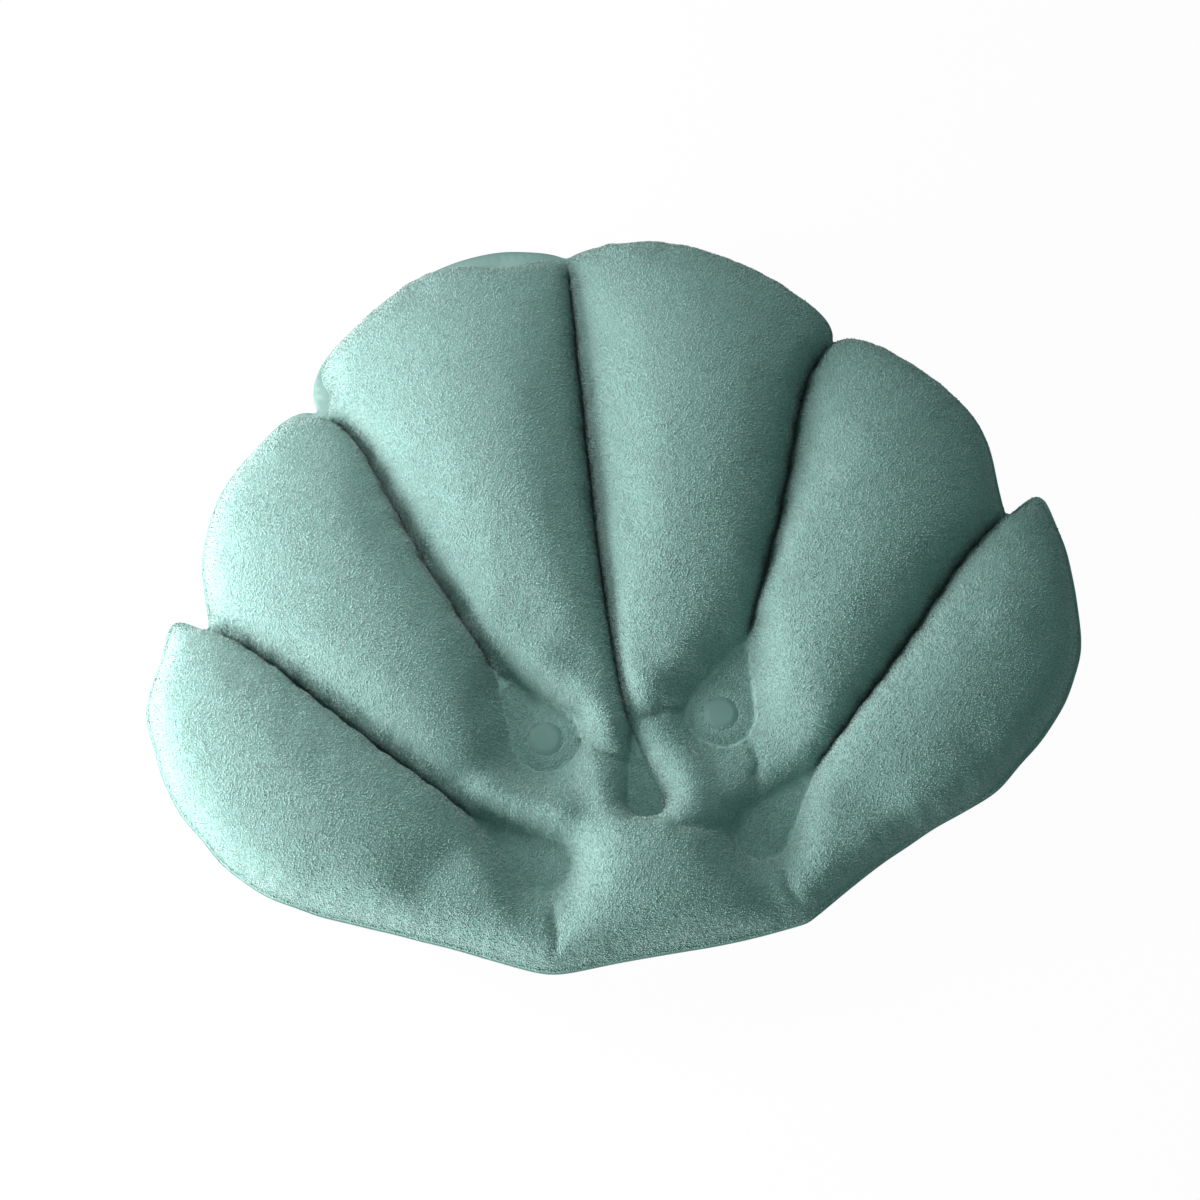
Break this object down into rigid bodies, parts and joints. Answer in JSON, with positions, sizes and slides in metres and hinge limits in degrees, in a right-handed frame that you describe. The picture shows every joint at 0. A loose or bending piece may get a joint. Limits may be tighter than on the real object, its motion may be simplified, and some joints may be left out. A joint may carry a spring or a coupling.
{
  "type": "bath pillow",
  "caption": "Inflatable scallop-shaped bath pillow: terry front welded into fanned lobes, plain back film, button-through suction cups and a push-in air valve with a tethered plug.",
  "frame": {"origin": "On the floor plane under the middle of the pillow's box, with the pillow lying on its back.", "axes": "+X across the pillow to its right when seen from the front with the base towards the viewer, +Y from the base to the crown of the shell, +Z out of the terry front."},
  "size_m": [0.432, 0.3528, 0.0714],
  "materials": {
    "terry": "fine terry pile",
    "film": "satin vinyl film",
    "soft_vinyl": "smooth moulded vinyl"
  },
  "bodies": {
    "pillow": {"front_terry": "terry", "front_film": "film", "back_film": "film", "cup_patch_left": "soft_vinyl", "cup_patch_right": "soft_vinyl", "valve_flange": "soft_vinyl"},
    "left_cup": {"suction_cup_left": "soft_vinyl"},
    "right_cup": {"suction_cup_right": "soft_vinyl"},
    "valve": {"valve_stem": "soft_vinyl"},
    "plug": {"valve_plug": "soft_vinyl", "valve_strap": "soft_vinyl"},
    "flap": {"valve_check_flap": "soft_vinyl"}
  },
  "joints": [
    {"name": "left_cup_swivel", "type": "hinge", "parent": "pillow", "child": "left_cup", "pos_m": [-0.04062, -0.06674, 0.013], "axis": [0, 0, 1], "continuous": true},
    {"name": "right_cup_swivel", "type": "hinge", "parent": "pillow", "child": "right_cup", "pos_m": [0.04062, -0.06674, 0.013], "axis": [0, 0, 1], "continuous": true},
    {"name": "valve_pull", "type": "slide", "parent": "pillow", "child": "valve", "axis": [0, 0, -1], "range_m": [0, 0.007]},
    {"name": "plug_flip", "type": "hinge", "parent": "valve", "child": "plug", "pos_m": [0.00855, -0.14439, 0.00605], "axis": [0, -1, 0], "range_deg": [0, 150], "deforming": ["valve_strap"]},
    {"name": "check_flap_hinge", "type": "hinge", "parent": "valve", "child": "flap", "pos_m": [-0.004, -0.14439, 0.0185], "axis": [0, -1, 0], "range_deg": [0, 60]}
  ]
}
